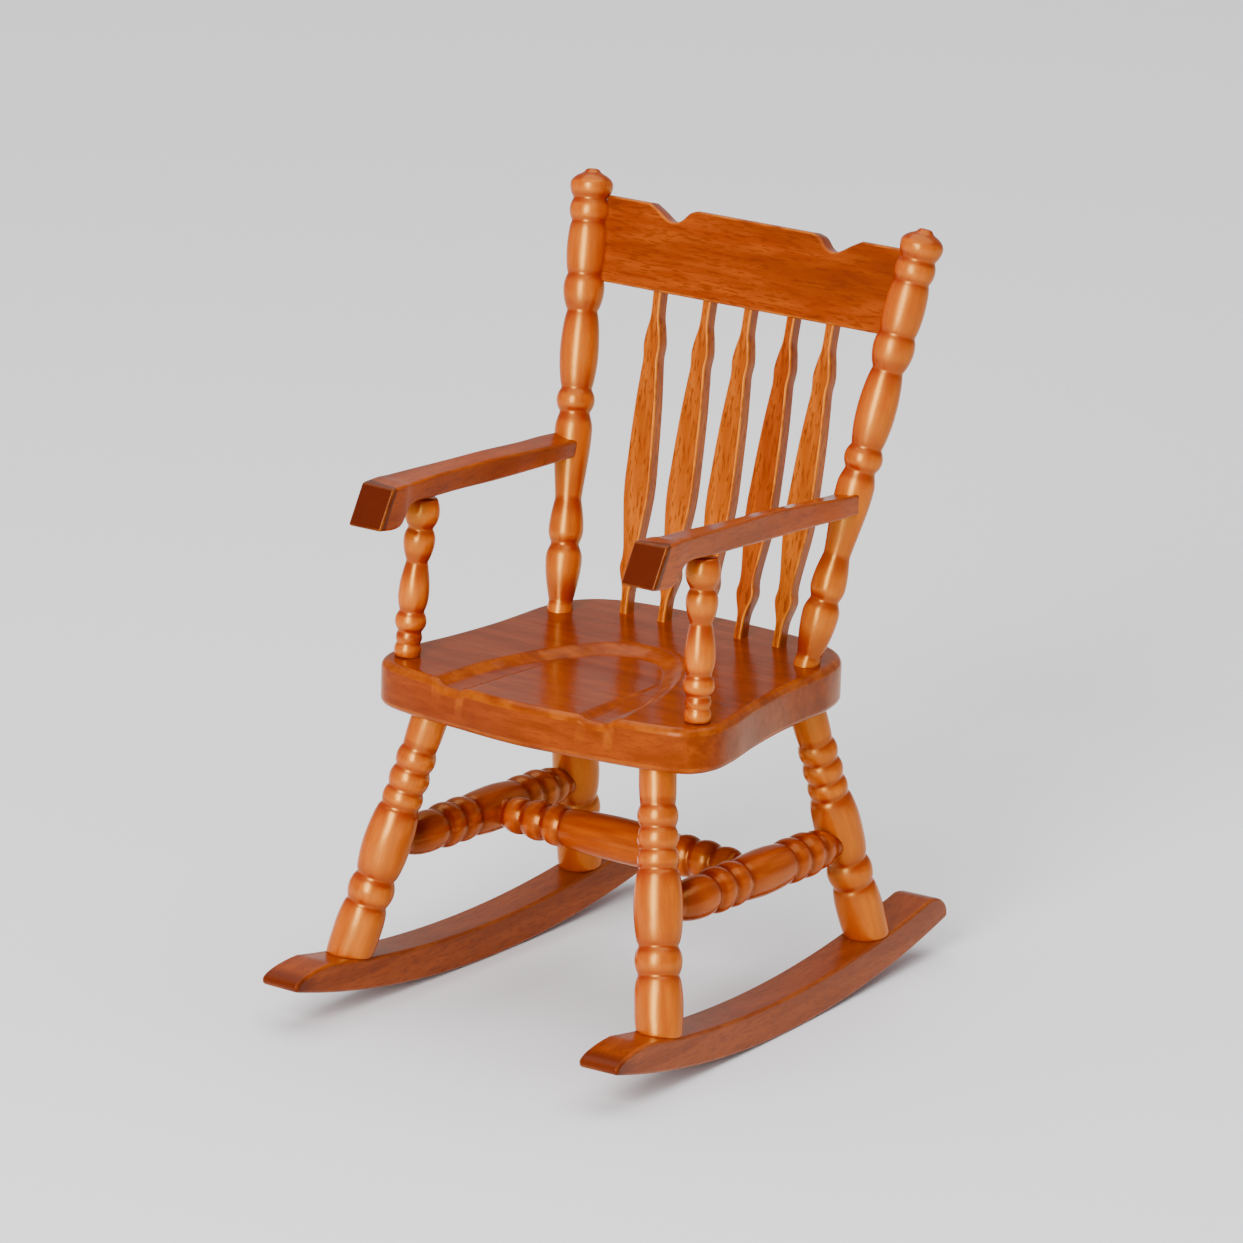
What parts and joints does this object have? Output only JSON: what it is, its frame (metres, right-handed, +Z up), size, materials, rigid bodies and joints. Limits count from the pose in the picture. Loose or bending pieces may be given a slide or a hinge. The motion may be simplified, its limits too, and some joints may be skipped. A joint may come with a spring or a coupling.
{
  "type": "dolls-house rocking chair",
  "caption": "Small lacquered wooden rocking chair with arms: dished seat, turned posts, legs and stretchers, slatted back, notched crest rail and curved rockers.",
  "frame": {"origin": "on the floor, midway between the rockers' front and rear tips and midway between the two rockers", "axes": "+X to the sitter's left, -Y the front of the chair, +Z up"},
  "size_m": [0.053, 0.0762, 0.0948],
  "materials": {
    "turned_wood": "gloss lacquer",
    "seat_wood": "gloss lacquer",
    "arm_wood": "gloss lacquer",
    "rail_wood": "gloss lacquer",
    "slat_wood": "gloss lacquer",
    "rocker_wood": "gloss lacquer"
  },
  "bodies": {
    "root": {"seat": "seat_wood", "rocker_left": "rocker_wood", "rocker_right": "rocker_wood", "front_leg_left": "turned_wood", "front_leg_right": "turned_wood", "rear_leg_left": "turned_wood", "rear_leg_right": "turned_wood", "side_stretcher_left": "turned_wood", "side_stretcher_right": "turned_wood", "cross_stretcher": "turned_wood", "arm_post_left": "turned_wood", "arm_post_right": "turned_wood", "back_post_left": "turned_wood", "back_post_right": "turned_wood", "arm_left": "arm_wood", "arm_right": "arm_wood", "crest_rail": "rail_wood", "back_slat_1": "slat_wood", "back_slat_2": "slat_wood", "back_slat_3": "slat_wood", "back_slat_4": "slat_wood", "back_slat_5": "slat_wood"}
  },
  "joints": []
}
